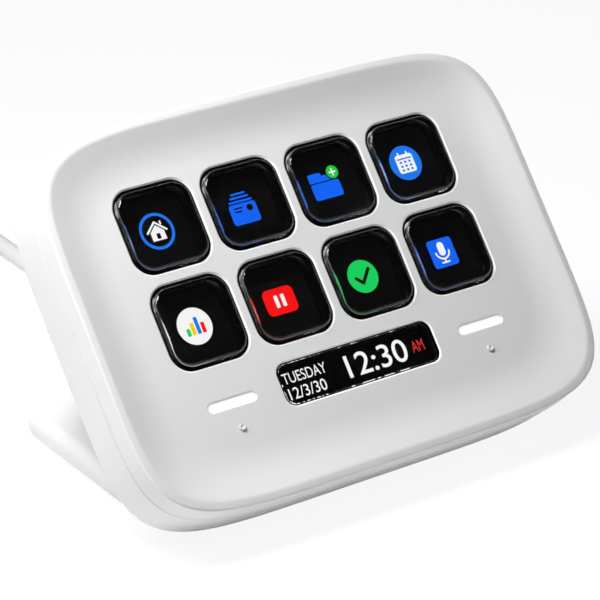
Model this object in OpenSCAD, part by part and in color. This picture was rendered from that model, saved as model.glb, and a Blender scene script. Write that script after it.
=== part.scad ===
// Desktop macro pad: eight clear display keys in a dished face, an info bar and two touch bars,
// on a weighted foot, with a captive lead. Millimetres, +Z up, the desk at Z = 0, the user at -Y.
// The origin is on the desk, straight below the centre of the key grid.

/* [Body] */
// Width of the body across its face
body_w = 107; // [104:0.5:130]
// Height of the body along its sloping face
body_h = 78; // [76:0.5:100]
// Squareness of the body's outline, as the power of a superellipse
corner_power = 6; // [5:0.5:9]
// Angle between the face and the desk
tilt = 50; // [44:1:56]
// Height of the rim above the key plane
rim_up = 2.2; // [1.6:0.1:3]
// Width of the flat top of the rim
rim_w = 1.5; // [1:0.1:2]
// Width of the slope between the rim and the key plane
dish_w = 9.7; // [8:0.1:10]
// Width of that slope's straight part, next to the rim
dish_straight = 3; // [1:0.25:4]
// Distance from the face's centre up to the key grid's centre
grid_up = 7.8; // [7:0.1:9]
// Depth of the seam between the two shells, below the key plane
seam_down = 2.6; // [2:0.1:3.5]
// Width of the seam's groove
seam_w = 0.3; // [0.2:0.05:0.6]
// Depth of the back face below the key plane
body_back = 14.8; // [14.5:0.1:18]
// Radius of the rounded back edge
back_r = 3.5; // [2.5:0.25:5.5]
// Wall of both body shells
wall = 2; // [1.6:0.1:2.4]
// Thickness of the front shell under the dish
face_t = 1.2; // [1:0.1:1.6]

/* [Keys] */
// Pitch of the keys across the face
key_pitch_x = 19.4; // [19.3:0.05:20]
// Pitch of the keys up the face
key_pitch_y = 19.6; // [19.5:0.05:20]
// Width of each key's square opening in the front shell
key_hole = 17.3; // [16.5:0.1:17.4]
// Corner radius of that opening
key_hole_r = 4.15; // [3.6:0.05:4.6]
// Wall of the guide frame's collar round each key
collar_t = 0.35; // [0.3:0.05:0.5]
// Depth of the collar's edge below the key plane
collar_down = 0.4; // [0.3:0.05:0.6]
// Running gap between a keycap and its collar
key_gap = 0.25; // [0.15:0.05:0.4]
// Height of a keycap's top above the key plane
key_up = 0.8; // [0.5:0.1:1.2]
// Travel of a key
key_travel = 1; // [0.7:0.05:1.1]
// Radius of a keycap's top edge
cap_edge_r = 0.7; // [0.3:0.1:0.7]
// Distance that a key's carrier reaches past its cap, on each side
flange_out = 1.2; // [0.9:0.05:1.3]
// Thickness of a key's carrier
flange_t = 0.5; // [0.4:0.05:0.7]
// Thickness of the guide frame's plate
frame_t = 0.7; // [0.6:0.05:1]

/* [Info bar and touch bars] */
// Distance from the key grid's centre down to the info bar's centre
info_down = 26.2; // [25.8:0.1:26.6]
// Width of the info bar's window
info_w = 36; // [30:0.5:38]
// Height of the info bar's window
info_h = 8.6; // [7:0.1:9]
// Corner radius of that window
info_r = 2.15; // [1.5:0.05:3]
// Distance of each touch bar from the middle of the face
bar_x = 29.1; // [28.5:0.1:30]
// Length of a touch bar's slot
bar_w = 10.6; // [9:0.1:11.5]
// Width of a touch bar's slot
bar_h = 1.9; // [1.6:0.1:2.4]
// Depth of a touch bar below the key plane
bar_sunk = 0.3; // [0.1:0.05:0.5]
// Distance from a touch bar down to its raised dot
dot_down = 5; // [4:0.1:5.5]
// Diameter of the raised dot
dot_d = 1.7; // [1.2:0.1:2.2]
// Height of the raised dot
dot_up = 0.45; // [0.3:0.05:0.7]

/* [Foot] */
// Width of the foot
foot_w = 90; // [80:0.5:100]
// Distance of the foot's back edge behind the key grid's centre
foot_reach = 40.5; // [32:0.5:47]
// Height of the foot's top face above its rubber pad
foot_top = 4.8; // [4.5:0.1:6.5]
// Radius of the foot's top edge
foot_edge_r = 2.2; // [1.5:0.1:3.5]
// Radius of the foot's back corners
foot_corner_r = 8.5; // [6:0.5:12]
// Wall of the foot
foot_wall = 1.5; // [1:0.1:1.8]
// Radius of the fillet between the foot and the back of the body
neck_r = 6; // [4:0.5:7]
// Width of that fillet's neck
neck_w = 70; // [60:1:76]
// Thickness of the rubber pad under the foot
pad_t = 0.8; // [0.6:0.1:1.5]
// Gap between the body's lower edge and the desk
body_gap = 0.5; // [0.3:0.1:1]
// Thickness of the steel ballast in the foot
ballast_t = 1.8; // [1.1:0.1:2.1]

/* [Lead] */
// Diameter of the lead
cord_d = 4; // [3.6:0.1:4.2]
// Length of the strain relief outside the body
boot_len = 14; // [12:0.5:15]
// Turns of the coiled lead side by side
coil_wide = 3; // [2:1:3]
// Layers of the coiled lead
coil_high = 3; // [2:1:4]
// Width of the plug's metal shell
plug_w = 8.3; // [8:0.1:12]
// Thickness of the plug's metal shell
plug_t = 2.5; // [2.4:0.1:4.5]

/* [Hidden] */

columns = 4;
rows = 2;
ring_n = 72;                              // points round the body's outline
fine = 96;                                // facets drawn on round features
fit = 0.1;                                // gap between pieces that locate each other
screw_gap = 0.05;                         // gap round a screw in its hole

// Depths in the body's own frame, whose origin is the key grid's centre, from the front to the back
z_frame = -face_t;                        // underside of the front shell, top of the guide frame
z_frame_low = z_frame - frame_t;
z_flange = z_frame_low - fit;             // top of a key's carrier
z_flange_low = z_flange - flange_t;
membrane_t = 0.2;
film_t = 0.15;
z_membrane = z_flange_low - key_travel - fit;
z_film = z_membrane - membrane_t;
z_glass = z_film - film_t;                // front of the displays
glass_t = 1;
light_t = 1;
z_light = z_glass - glass_t;
z_tray = z_light - light_t;
tray_t = 0.3;
tray_wall = 0.3;
ear = 3.4;                                // reach of the tray's ears from their screws to its rim
z_tray_low = z_tray - tray_t;
board_t = 1.2;
board_gap = 1.55;
z_board = z_tray_low - board_gap;
z_board_low = z_board - board_t;
z_floor = wall - body_back;               // inner face of the rear shell's back
z_lead = z_board_low - 1.9;               // underside of the lead's socket on the main board

// The body's outline, from the outside in
half_w = body_w / 2;
half_h = body_h / 2;
draft = 0.3;                              // lean of the front shell's outer wall
rim_r = 0.5;                              // rounding of the rim's edges
dish_in = draft + rim_w + dish_w;         // distance from the outline to the flat key plane
dish_curve = dish_w - dish_straight;      // width of the slope's curved part, next to the key plane
dish_bend = rim_up / (dish_curve * (dish_curve + 2 * dish_straight));
face_top = half_h - grid_up;
face_bottom = -half_h - grid_up;

// Keys and their surroundings
collar_in = key_hole - 2 * fit - 2 * collar_t;
cap_w = collar_in - 2 * key_gap;
cap_r = key_hole_r - (key_hole - cap_w) / 2;
flange_w = cap_w + 2 * flange_out;
seat_w = cap_w - 0.8;                     // the cap's lower step, seated in its carrier
seat_t = flange_t - 0.1;
lens_w = cap_w - 1.6;                     // clear windows in the membrane and the film
bellows_t = 0.6;
grid_w = (columns - 1) * key_pitch_x + key_hole;
grid_h = (rows - 1) * key_pitch_y + key_hole;
glass_w = grid_w + 3.5;
glass_h = grid_h + 3.1;
frame_w = glass_w + 4;
frame_top = glass_h / 2 + 5.2;
info_glass_w = info_w + 2.5;
info_glass_h = info_h + 2.5;
info_top = -info_down + info_glass_h / 2;
info_bottom = -info_down - info_glass_h / 2;
frame_bottom = info_bottom - 3.9;
window_lip = 1;                           // the info window's flange, past its opening
dot_y = -info_down - dot_down;

// Fasteners inside the body
stake_r = 0.8;
stakes = [for (x = [-0.45, -0.14, 0.14, 0.45]) for (y = [frame_top - 2.2, frame_bottom + 1.8]) [x * frame_w, y]];
column_r = 2.6;
column_gap = 0.9;                         // between the guide frame's sides and the screw columns
column_end = 14.6;                        // from the body's top and bottom to them
columns_at = [for (s = [-1, 1]) for (y = [face_top - column_end, face_bottom + column_end])
    [s * (frame_w / 2 + column_gap + column_r), y]];
z_split = -body_back + 5.3;               // where the front and rear screw columns meet
small_r = 0.75;                           // shaft radius of the small screws
shell_screw_r = 1;
shell_screw_len = 7.2;
screw_seat = 2.3;
post_r = 1.9;
tray_posts = [for (s = [-1, 1]) each [[s * 0.36 * glass_w, glass_h / 2 + 3], [s * 0.48 * glass_w, -glass_h / 2 - 2.9]]];
board_w = glass_w - 3;
board_top = glass_h / 2 - 3.5;
board_bottom = info_bottom - 1.2;
board_post_in = 4;                        // from the main board's sides to its posts
board_post_top = 3.5;                     // from its top edge
board_post_low = 9;                       // from its bottom edge
board_posts = [for (s = [-1, 1]) for (y = [board_top - board_post_top, board_bottom + board_post_low])
    [s * (board_w / 2 - board_post_in), y]];
chips = [[-16, 2, 10, 10, 1], [-16, -12, 8, 6, 0.9], [16, 4, 7, 7, 0.9],
    [16, -8, 4, 5, 1.6], [24, -8, 4, 5, 1.6]];   // each chip's centre, width, height and thickness
lead_socket_w = 10;
lead_socket_h = 6;
head_t = 0.7;
ribbon_w = 12;                            // flat ribbons from the displays to the main board
ribbon_t = 0.2;
ribbon_out = 1.6;                         // how far they stand out past a display's edge
ribbon_up = 0.4;                          // their height above the main board
socket_deep = 4;
info_socket_y = board_bottom + 3;         // face of the info display's socket
tongue_in = wall + fit;                   // the rear shell's tongue, inside the front shell's wall
tongue_t = 1;

// Foot and its fastenings, in desk coordinates
lean_s = sin(tilt);
lean_c = cos(tilt);
low_y = face_bottom + back_r;             // centre of the back edge's rounding, at the body's bottom
low_z = back_r - body_back;
desk_up = back_r - lean_s * low_y - lean_c * low_z + body_gap;   // the key grid's height over the desk
function back_y(z) = lean_c * (z - desk_up + lean_c * body_back) / lean_s + lean_s * body_back;
function face_y(z) = (z - desk_up + lean_c * body_back) / lean_s;
foot_front = back_y(pad_t) - 1;           // a little past the body's back face, where it is cut off
foot_high = pad_t + foot_top;             // the foot's top face over the desk
neck_root = 9;                            // solid plastic in front of the foot's hollow, for the screws
cavity_front = back_y(foot_high - foot_wall) + neck_root;
ballast_in = 8;                           // from the hollow's sides to the ballast
cavity_back = foot_reach - foot_wall - 0.5;
cavity_w = foot_w - 2 * foot_wall - 1;
base_t = 1.2;
foot_post_r = 2.4;
foot_posts = [for (s = [-1, 1]) for (y = [cavity_front + 4, cavity_back - 4]) [s * (cavity_w / 2 - 4), y]];
neck_len = neck_r / tan(tilt / 2);        // from the corner to where the neck's fillet ends
neck_past = 1.5;
foot_screw_y = face_y(foot_high) + neck_len / 4;
foot_screw_r = 1.25;
foot_screw_len = 7;
foot_screw_x = [for (i = [-1.5 : 1 : 1.5]) i * neck_w / 3.6];
pad_in = 5;                               // rubber pad's margin inside the foot's edge
pad_front = back_y(pad_t) + pad_in;
pad_back = foot_reach - pad_in;

// Lead: its route behind the body, then a coil lying on the desk
exit_y = -4;                              // where it leaves the back face, up from the key grid's centre
boot_r = 3;
boot_tip_r = cord_d / 2 + 0.5;
exit_top = [0, lean_c * exit_y + lean_s * (body_back + boot_len),
    desk_up + lean_s * exit_y - lean_c * (body_back + boot_len)];
cord_points = [
    [0, 23, 20.1], [0, 29, 15.8], [0, 36, 12], [0, 44, 8.4], [-0.5, 52, 5.2],
    [-1.5, 61, 3.1], [-2.5, 71, 2], [-4, 82, 2], [-5, 93, 2], [-5.5, 104, 2], [-5.5, 115, 2],
    [-5.5, 125, 2], [-6, 134, 2], [-6, 150, 2]
];
route = concat([exit_top], cord_points);
cord_last = len(route) - 2;               // the free lead ends here, and the coil's straight run goes on
cord_sides = 12;                          // facets drawn round the lead
tie_t = 0.6;
tie_w = 6;
coil_mid_r = 5.5 * cord_d;
coil_out_r = coil_mid_r + cord_d * coil_wide / 2;
turn_out_r = coil_out_r - cord_d / 2;     // middle of the outermost turn
coil_x = route[cord_last + 1][0] - turn_out_r;
coil_y = route[cord_last + 1][1];
coil_low = tie_t;
run_end = coil_y - cord_d / 2;            // the straight runs end inside the coil
plug_len = 19;
plug_shell_len = 6.6;
plug_grip_w = plug_w + 3.8;
plug_grip_t = plug_t + 3.9;
plug_tail = 10;
plug_clear = 0.5;                         // gap between the plug's tail and the coil
plug_x = coil_x - turn_out_r;
plug_start = coil_y - plug_clear - sqrt(pow(coil_out_r, 2) - pow(turn_out_r - boot_r, 2));
plug_up = plug_grip_t / 2;

// ---------------------------------------------------------------- shared shapes

// Puts its children into the body's own frame: face towards the user, leaning back
module in_body() { translate([0, 0, desk_up]) rotate([tilt, 0, 0]) children(); }

module at_keys(n) {
    column = (n - 1) % columns;
    row = floor((n - 1) / columns);
    translate([(column - (columns - 1) / 2) * key_pitch_x, ((rows - 1) / 2 - row) * key_pitch_y]) children();
}

module all_keys() { for (n = [1 : columns * rows]) at_keys(n) children(); }

// Flat rectangle with true round corners
module rounded(w, h, r) {
    square([w - 2 * r, h], center = true);
    square([w, h - 2 * r], center = true);
    for (x = [-1, 1]) for (y = [-1, 1])
        translate([x * (w / 2 - r), y * (h / 2 - r)]) circle(r, $fn = fine);
}

// Slot with round ends
module pill(w, h, low, high) translate([0, 0, low]) linear_extrude(high - low) {
    square([w - h, h], center = true);
    for (x = [-1, 1]) translate([x * (w - h) / 2, 0]) circle(h / 2, $fn = fine);
}

// Slab of the rounded outline between two depths
module slab(w, h, r, low, high) { translate([0, 0, low]) linear_extrude(high - low) rounded(w, h, r); }

module block(x0, x1, y0, y1, z0, z1) { translate([x0, y0, z0]) cube([x1 - x0, y1 - y0, z1 - z0]); }

module rod(r, low, high) { translate([0, 0, low]) cylinder(h = high - low, r = r, $fn = fine); }

// Pan-head screw whose head is seated at depth z, with the shaft running up from it
module screw(r, head_r, len, z) {
    rod(head_r, z - head_t, z);
    rod(r, z - head_t / 2, z + len);
}

// The same screw pointing the other way
module screw_down(r, head_r, len, z) {
    rod(head_r, z, z + head_t);
    rod(r, z - len, z + head_t / 2);
}

function arc(x, z, r, from, to, steps) =
    [for (i = [0 : steps]) let(a = from + (to - from) * i / steps) [x + r * cos(a), z + r * sin(a)]];

// One ring of the body's outline, moved in by an inset
function signed_power(v) = sign(v) * pow(abs(v), 2 / corner_power);
function body_ring(inset, z) = [for (i = [0 : ring_n - 1]) let(a = 360 * i / ring_n)
    [(half_w - inset) * signed_power(cos(a)), (half_h - inset) * signed_power(sin(a)) - grid_up, z]];

// One ring of a rounded rectangle, moved in by an inset
function plan_ring(w, h, r, inset, z) = let(q = max(r - inset, 0.2), steps = 8)
    [for (k = [0 : 3]) for (i = [0 : steps]) let(a = 90 * k + 90 * i / steps)
        [(k == 0 || k == 3 ? 1 : -1) * (w / 2 - inset - q) + q * cos(a),
         (k < 2 ? 1 : -1) * (h / 2 - inset - q) + q * sin(a), z]];

// Closed skin through a stack of rings, with a flat cap on the first and the last
module skin(rings) {
    n = len(rings[0]);
    last = (len(rings) - 1) * n;
    sides = [for (k = [0 : len(rings) - 2]) for (i = [0 : n - 1])
        let(a = k * n + i, b = k * n + (i + 1) % n) each [[a, a + n, b], [b, a + n, b + n]]];
    polyhedron([for (r = rings) each r],
        concat([[for (i = [0 : n - 1]) i]], sides, [[for (i = [n - 1 : -1 : 0]) last + i]]));
}

// Height of the dish's surface at a distance in from the outline: a parabola, then its tangent
function dish_z(s) = let(u = max(dish_in - s, 0))
    dish_bend * (u < dish_curve ? u * u : dish_curve * (2 * u - dish_curve));

// ---------------------------------------------------------------- front of the body

front_profile = concat(
    [for (i = [0 : 6]) let(s = dish_in - i * (dish_in - wall - 0.6) / 6) [s, dish_z(s) - face_t]],
    [[wall, rim_up - face_t - 0.8], [wall, -seam_down], [0, -seam_down], [draft, rim_up - rim_r]],
    arc(draft + rim_r, rim_up - rim_r, rim_r, 150, 90, 3),
    [for (i = [0 : 9]) let(s = draft + rim_w + i * dish_w / 9) [s, dish_z(s)]]);

module front_shell() color("whitesmoke") in_body() {
    difference() {
        union() {
            skin([for (p = front_profile) body_ring(p[0], p[1])]);
            for (p = columns_at) translate(p) rod(column_r, z_split, -face_t / 4);
            for (s = [-1, 1]) translate([s * bar_x, dot_y]) rod(dot_d / 2, -face_t / 2, dot_up);
        }
        all_keys() slab(key_hole, key_hole, key_hole_r, z_frame - 1, rim_up);
        translate([0, -info_down]) slab(info_w, info_h, info_r, z_frame - 1, rim_up);
        for (s = [-1, 1]) translate([s * bar_x, -info_down]) pill(bar_w, bar_h, z_frame - 1, rim_up);
        for (p = columns_at) translate(p)
            rod(shell_screw_r + screw_gap, z_split - 1, z_split + shell_screw_len - screw_seat + 0.5);
    }
    for (p = stakes) translate(p) {
        rod(stake_r, z_frame_low - 0.3, -face_t / 4);
        rod(stake_r + 0.5, z_frame_low - 0.5, z_frame_low);
    }
}

module key_frame() color("#151515") in_body() {
    frame_h = frame_top - frame_bottom;
    difference() {
        union() {
            translate([0, (frame_top + frame_bottom) / 2]) slab(frame_w, frame_h, 6, z_frame_low, z_frame);
            all_keys() slab(key_hole - 2 * fit, key_hole - 2 * fit, key_hole_r - fit, z_frame_low, -collar_down);
            for (p = tray_posts) translate(p) rod(post_r, z_tray, z_frame_low + frame_t / 2);
        }
        all_keys() slab(collar_in, collar_in, cap_r + key_gap, z_frame_low - 1, 1);
        translate([0, -info_down]) slab(info_w + 2 * window_lip + 2 * fit, info_h + 2 * window_lip + 2 * fit,
            info_r + window_lip + fit, z_frame_low - 1, 1);
        for (s = [-1, 1]) translate([s * bar_x, -info_down]) pill(bar_w, bar_h, z_frame_low - 1, 1);
        for (p = stakes) translate(p) rod(stake_r + fit, z_frame_low - 1, 1);
        for (p = tray_posts) translate(p) rod(small_r + screw_gap, z_tray - 1, z_frame_low - 0.5);
    }
}

module info_window() color("#1b1b1e", 0.6) in_body() translate([0, -info_down]) {
    slab(info_w - 2 * fit, info_h - 2 * fit, info_r - fit, z_frame_low, -0.15);
    slab(info_w + 2 * window_lip, info_h + 2 * window_lip, info_r + window_lip, z_frame_low, z_frame);
}

// One pill-shaped light bar in its slot
module touch_bar(side) color("white") in_body() translate([side * bar_x, -info_down])
    pill(bar_w - 2 * fit, bar_h - 2 * fit, z_frame_low, -bar_sunk);

module touch_bar_left() touch_bar(-1);
module touch_bar_right() touch_bar(1);

// Small board under each touch bar, with its pins down to the main board
module touch_board(side) color("#1f6b45") in_body() translate([side * bar_x, 0]) {
    block(-bar_w / 2 - 1, bar_w / 2 + 1, dot_y - 1.2, bar_h / 2 + 1.6 - info_down,
        z_frame_low - 0.8, z_frame_low);
    block(-3, 3, dot_y - 0.8, dot_y + 0.8, z_board, z_frame_low - 0.8);
}

module touch_board_left() touch_board(-1);
module touch_board_right() touch_board(1);

// ---------------------------------------------------------------- keys

module keycap(n) color("#d8dee4", 0.35) in_body() at_keys(n) {
    slab(cap_w, cap_w, cap_r, z_flange, key_up - cap_edge_r);
    slab(cap_w - cap_edge_r, cap_w - cap_edge_r, cap_r - cap_edge_r / 2, z_flange, key_up - cap_edge_r / 4);
    slab(cap_w - 2 * cap_edge_r, cap_w - 2 * cap_edge_r, cap_r - cap_edge_r, z_flange, key_up);
    slab(seat_w, seat_w, cap_r - 0.4, z_flange - seat_t, z_flange + seat_t);
}

module key_carrier(n) color("#101010") in_body() at_keys(n) difference() {
    slab(flange_w, flange_w, cap_r + flange_out, z_flange_low, z_flange);
    slab(seat_w, seat_w, cap_r - 0.4, z_flange_low - 1, z_flange + 1);
}

module key_membrane() color("#2a2a2a") in_body() difference() {
    union() {
        slab(glass_w, glass_h, 2, z_film, z_membrane);
        all_keys() slab(flange_w - 0.4, flange_w - 0.4, cap_r + flange_out - 0.2, z_film, z_flange_low);
    }
    all_keys() slab(flange_w - 0.4 - 2 * bellows_t, flange_w - 0.4 - 2 * bellows_t,
        cap_r + flange_out - 0.2 - bellows_t, z_membrane, z_flange);
    all_keys() slab(lens_w, lens_w, cap_r - 0.8, z_film - 1, z_flange);
}

module contact_film() color("#b5762b") in_body() difference() {
    slab(glass_w, glass_h, 2, z_glass, z_film);
    all_keys() slab(lens_w, lens_w, cap_r - 0.8, z_glass - 1, z_film + 1);
}

// ---------------------------------------------------------------- displays and boards

module lcd_panel() color("#0c0c0e") in_body() slab(glass_w, glass_h, 1, z_light, z_glass);

module backlight() color("#f2f2ee") in_body() slab(glass_w, glass_h, 1, z_tray, z_light);

module info_gasket() color("#101010") in_body() translate([0, -info_down]) difference() {
    slab(info_glass_w, info_glass_h, 2, z_glass, z_frame_low);
    slab(info_w + 0.6, info_h + 0.6, info_r, z_glass - 1, z_frame_low + 1);
}

module info_display() color("#0c0c0e") in_body() translate([0, -info_down])
    slab(info_glass_w, info_glass_h, 1, z_tray, z_glass);

// Rim of the sheet-metal tray round one display
module tray_rim(w, h) difference() {
    slab(w + 2 * (fit + tray_wall), h + 2 * (fit + tray_wall), 1.4, z_tray_low, z_film);
    slab(w + 2 * fit, h + 2 * fit, 1.1, z_tray, z_glass + 1);
}

module display_tray() color("silver") in_body() difference() {
    union() {
        tray_rim(glass_w, glass_h);
        translate([0, -info_down]) tray_rim(info_glass_w, info_glass_h);
        for (p = tray_posts) translate(p) {
            rod(post_r, z_tray_low, z_tray);
            block(-post_r, post_r, p[1] > 0 ? -ear : 0, p[1] > 0 ? 0 : ear, z_tray_low, z_tray);
        }
    }
    for (p = tray_posts) translate(p) rod(small_r + screw_gap, z_tray_low - 1, z_tray + 1);
    block(-ribbon_w / 2 - fit, ribbon_w / 2 + fit, 0, frame_top, z_light, z_film + 1);
    block(-ribbon_w / 2 - fit, ribbon_w / 2 + fit, frame_bottom, -info_down, z_light, z_film + 1);
}

module tray_screws() color("#c9c9c9") in_body() for (p = tray_posts) translate(p)
    screw(small_r, 1.3, z_frame_low - 0.9 - z_tray_low, z_tray_low);

// Flat ribbon that leaves a display's edge, folds over and reaches back to its socket's face
module ribbon(edge, side, socket_y) {
    out = edge + side * ribbon_out;
    z_out = (z_light + z_glass) / 2;
    z_in = z_board + ribbon_up;
    for (b = [[edge, out, z_out - ribbon_t, z_out], [out - side * ribbon_t, out, z_in, z_out],
              [socket_y, out, z_in, z_in + ribbon_t]])
        block(-ribbon_w / 2, ribbon_w / 2, min(b[0], b[1]), max(b[0], b[1]), b[2], b[3]);
}

module display_ribbon() color("#c4842f") in_body() ribbon(glass_h / 2, 1, board_top);
module info_ribbon() color("#c4842f") in_body() ribbon(info_bottom, -1, info_socket_y);

module main_board() color("#14512f") in_body() difference() {
    translate([0, (board_top + board_bottom) / 2])
        slab(board_w, board_top - board_bottom, 1.5, z_board_low, z_board);
    for (p = board_posts) translate(p) rod(small_r + screw_gap, z_board_low - 1, z_board + 1);
}

module board_chips() color("#26262a") in_body() for (c = chips)
    block(c[0] - c[2] / 2, c[0] + c[2] / 2, c[1] - c[3] / 2, c[1] + c[3] / 2, z_board_low - c[4], z_board_low);

module board_sockets() color("#e9e6dc") in_body() {
    for (y = [board_top - socket_deep, info_socket_y])
        block(-ribbon_w / 2 - 1, ribbon_w / 2 + 1, y, y + socket_deep, z_board, z_board + 1);
    block(-lead_socket_w / 2, lead_socket_w / 2, exit_y - lead_socket_h / 2, exit_y + lead_socket_h / 2,
        z_lead, z_board_low);
}

module board_screws() color("#c9c9c9") in_body() for (p = board_posts) translate(p)
    screw_down(small_r, 1.4, 3.2, z_board);

// ---------------------------------------------------------------- back of the body

rear_profile = concat(
    arc(back_r, back_r - body_back, back_r, 270, 180, 8),
    [[0, -seam_down - seam_w], [tongue_in, -seam_down - seam_w], [tongue_in, -seam_down + 1.3],
     [tongue_in + tongue_t, -seam_down + 1.3], [tongue_in + tongue_t, -seam_down - 2],
     [wall, -seam_down - 3.2], [wall, back_r - body_back]],
    [for (p = arc(back_r, back_r - body_back, back_r - wall, 180, 270, 6)) if (p[0] > wall) p]);

module rear_shell() color("whitesmoke") in_body() difference() {
    union() {
        skin([for (p = rear_profile) body_ring(p[0], p[1])]);
        for (p = columns_at) translate(p) rod(column_r, z_floor - 0.5, z_split);
        for (p = board_posts) translate(p) rod(post_r, z_floor - 0.5, z_board_low);
    }
    for (p = columns_at) translate(p) {
        rod(shell_screw_r + screw_gap, -body_back - 1, z_split + 1);
        rod(shell_screw_r + 1.1, -body_back - 1, z_split - screw_seat);
    }
    for (p = board_posts) translate(p) rod(small_r + screw_gap, z_floor - 0.2, z_board_low + 1);
    translate([0, exit_y]) rod(boot_r + fit, -body_back - 1, z_floor + 1);
    for (x = foot_screw_x) translate([x, foot_screw_y]) rod(foot_screw_r + screw_gap, -body_back - 1, z_floor + 1);
}

module shell_screws() color("#c9c9c9") in_body() for (p = columns_at) translate(p)
    screw(shell_screw_r, shell_screw_r + 0.9, shell_screw_len, z_split - screw_seat);

// Moulded boot on the lead: a flange inside the shell, a neck through it and a tapered tail
module strain_relief() color("#e6e6e6") in_body() translate([0, exit_y]) rotate_extrude($fn = fine) polygon([
    [0, z_floor + 1], [boot_r + 1.4, z_floor + 1], [boot_r + 1.4, z_floor], [boot_r, z_floor],
    [boot_r, -body_back], [boot_r + 0.6, -body_back], [boot_r + 0.6, -body_back - 1.5],
    [boot_tip_r, -body_back - boot_len], [0, -body_back - boot_len]]);

module inner_lead() color("#d0d0d0") in_body() translate([0, exit_y])
    rod(cord_d / 2 - 0.4, z_floor + 1, z_lead);

// ---------------------------------------------------------------- foot

// Everything in front of the body's back face, cut off the foot
module front_side() in_body() block(-body_w, body_w, -2 * body_h, 2 * body_h, -body_back, 3 * body_h);

foot_profile = concat([[0.5, pad_t], [0, pad_t + 0.5], [0, foot_high - foot_edge_r]],
    [for (i = [1 : 6]) let(a = 15 * i) [foot_edge_r * (1 - cos(a)), foot_high - foot_edge_r * (1 - sin(a))]]);

module neck() {
    corner = [back_y(foot_high), foot_high];
    centre = [corner[0] + neck_len, foot_high + neck_r];
    curve = arc(centre[0], centre[1], neck_r, 90 + tilt, 270, 10);
    past_y = -neck_past * lean_s;          // the neck runs past the back face, where it is cut off
    past_z = neck_past * lean_c;
    rotate([90, 0, 90]) translate([0, 0, -neck_w / 2]) linear_extrude(neck_w)
        polygon(concat([[corner[0] - 2 * neck_past, foot_high - foot_wall / 2], curve[0] + [past_y, past_z]], curve,
            [[centre[0], foot_high - foot_wall / 2]]));
}

module foot_shell() color("whitesmoke") difference() {
    union() {
        translate([0, (foot_front + foot_reach) / 2])
            skin([for (p = foot_profile) plan_ring(foot_w, foot_reach - foot_front, foot_corner_r, p[0], p[1])]);
        neck();
    }
    front_side();
    difference() {
        translate([0, (cavity_front + cavity_back) / 2])
            slab(cavity_w, cavity_back - cavity_front, foot_corner_r - foot_wall, pad_t - 1, foot_high - foot_wall);
        for (p = foot_posts) translate(p) rod(foot_post_r, pad_t + base_t, foot_high);
    }
    for (p = foot_posts) translate(p) rod(small_r + screw_gap, pad_t, foot_high - 1);
    in_body() for (x = foot_screw_x) translate([x, foot_screw_y])
        rod(foot_screw_r + screw_gap, z_floor - foot_screw_len - 0.5, -body_back + 1);
}

module foot_screws() color("#c9c9c9") in_body() for (x = foot_screw_x) translate([x, foot_screw_y])
    screw_down(foot_screw_r, 2.2, foot_screw_len, z_floor);

module foot_base() color("#dcdcdc") difference() {
    translate([0, (cavity_front + cavity_back) / 2])
        slab(cavity_w - 2 * fit, cavity_back - cavity_front - 2 * fit, foot_corner_r - foot_wall - fit,
            pad_t, pad_t + base_t);
    for (p = foot_posts) translate(p) {
        rod(small_r + screw_gap, pad_t - 1, pad_t + base_t + 1);
        rod(1.6, pad_t - 1, pad_t + head_t);
    }
}

module foot_base_screws() color("#c9c9c9") for (p = foot_posts) translate(p)
    screw(small_r, 1.5, foot_top - head_t - 1.4, pad_t + head_t);

module ballast() color("#8b8f94") translate([0, (cavity_front + cavity_back) / 2])
    slab(cavity_w - 2 * ballast_in, cavity_back - cavity_front - 2, 2,
        pad_t + base_t, pad_t + base_t + ballast_t);

module foot_pad() color("#3a3a3a") translate([0, (pad_front + pad_back) / 2])
    slab(foot_w - 2 * pad_in, pad_back - pad_front, foot_corner_r - pad_in / 2, 0, pad_t);

// ---------------------------------------------------------------- lead

// A ring of the lead round one point of its route, square to the direction along it
function unit(v) = v / norm(v);
function ring_at(p, ahead, r, sides) = let(d = unit(ahead), side = unit(cross(d, [0, 0, 1])), up = cross(side, d))
    [for (i = [0 : sides - 1]) let(a = 360 * (i + 0.5) / sides) p + r * cos(a) * side + r * sin(a) * up];

module cord() color("#e4e4e4") {
    start = [0, lean_s, -lean_c];
    ahead = [for (i = [0 : cord_last])
        i == 0 ? start : (i == cord_last ? [0, 1, 0] : route[i + 1] - route[i - 1])];
    skin([for (i = [0 : cord_last]) ring_at(route[i], ahead[i], cord_d / 2, cord_sides)]);
}

module coil_ring() translate([coil_x, coil_y, coil_low]) rotate_extrude($fn = fine)
    translate([coil_mid_r - coil_wide * cord_d / 2, 0]) square([coil_wide * cord_d, coil_high * cord_d]);

// Straight run of the lead beside the coil, between two places along Y
module straight_run(x, z, from, to) translate([x, to, z]) rotate([90, 0, 0]) rod(cord_d / 2, 0, to - from);

// The stored turns as one solid, with the straight runs on to and off their outermost turn
module cord_coil() color("#e4e4e4") {
    coil_ring();
    straight_run(route[cord_last][0], route[cord_last][2], route[cord_last][1], run_end);
    straight_run(plug_x, plug_up, plug_start, run_end);
}

module cord_tie() color("#2c2c2c") difference() {
    translate([coil_x, coil_y - coil_mid_r, coil_low + coil_high * cord_d / 2])
        cube([tie_w, coil_wide * cord_d + 2 * tie_t, coil_high * cord_d + 2 * tie_t], center = true);
    coil_ring();
}

// The plug lies beside the coil, pointing back towards the body
module at_plug() translate([plug_x, plug_start - plug_tail, plug_up]) rotate([90, 0, 0]) children();

module plug_body() color("#e0e0e0") at_plug() {
    slab(plug_grip_w, plug_grip_t, plug_grip_t / 2 - 0.2, 0, plug_len);
    translate([0, 0, -plug_tail]) cylinder(h = plug_tail + 1, r1 = boot_tip_r, r2 = boot_r, $fn = fine);
}

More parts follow.
